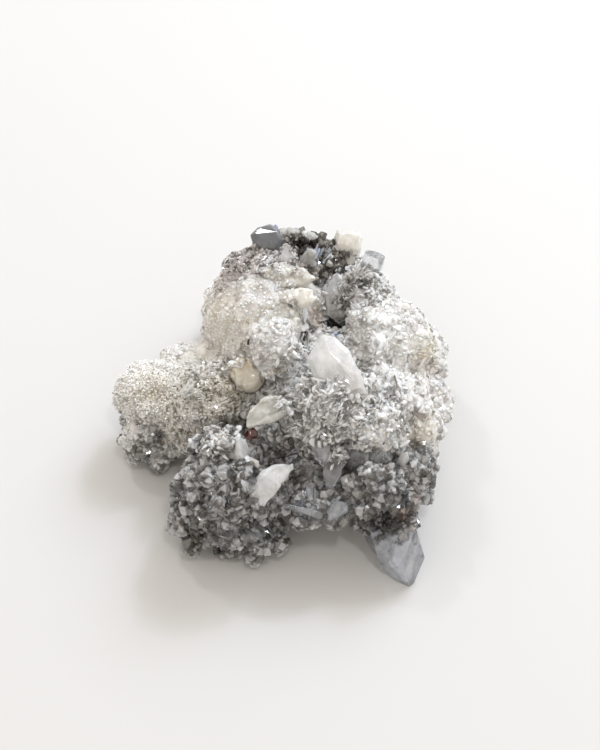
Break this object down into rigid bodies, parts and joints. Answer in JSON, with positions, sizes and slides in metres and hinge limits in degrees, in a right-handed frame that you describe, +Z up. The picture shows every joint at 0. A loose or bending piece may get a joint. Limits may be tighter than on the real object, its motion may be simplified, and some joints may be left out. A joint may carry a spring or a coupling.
{
  "type": "apophyllite crystal cluster",
  "caption": "Palm-sized natural cluster of milky, clear and grey apophyllite crystals on joined lobes, standing on small worn feet, with a large clear point as its front leg.",
  "frame": {"origin": "centre of the bounding box at the level of the feet", "axes": "+Z up off the surface it rests on, +X to the cluster's right along its longest side, +Y to its back"},
  "size_m": [0.0632, 0.0614, 0.0363],
  "materials": {
    "crystal": "glassy flat crystal faces, milky white to smoky grey"
  },
  "bodies": {
    "root": {"crystal_cluster": "crystal"}
  },
  "joints": []
}
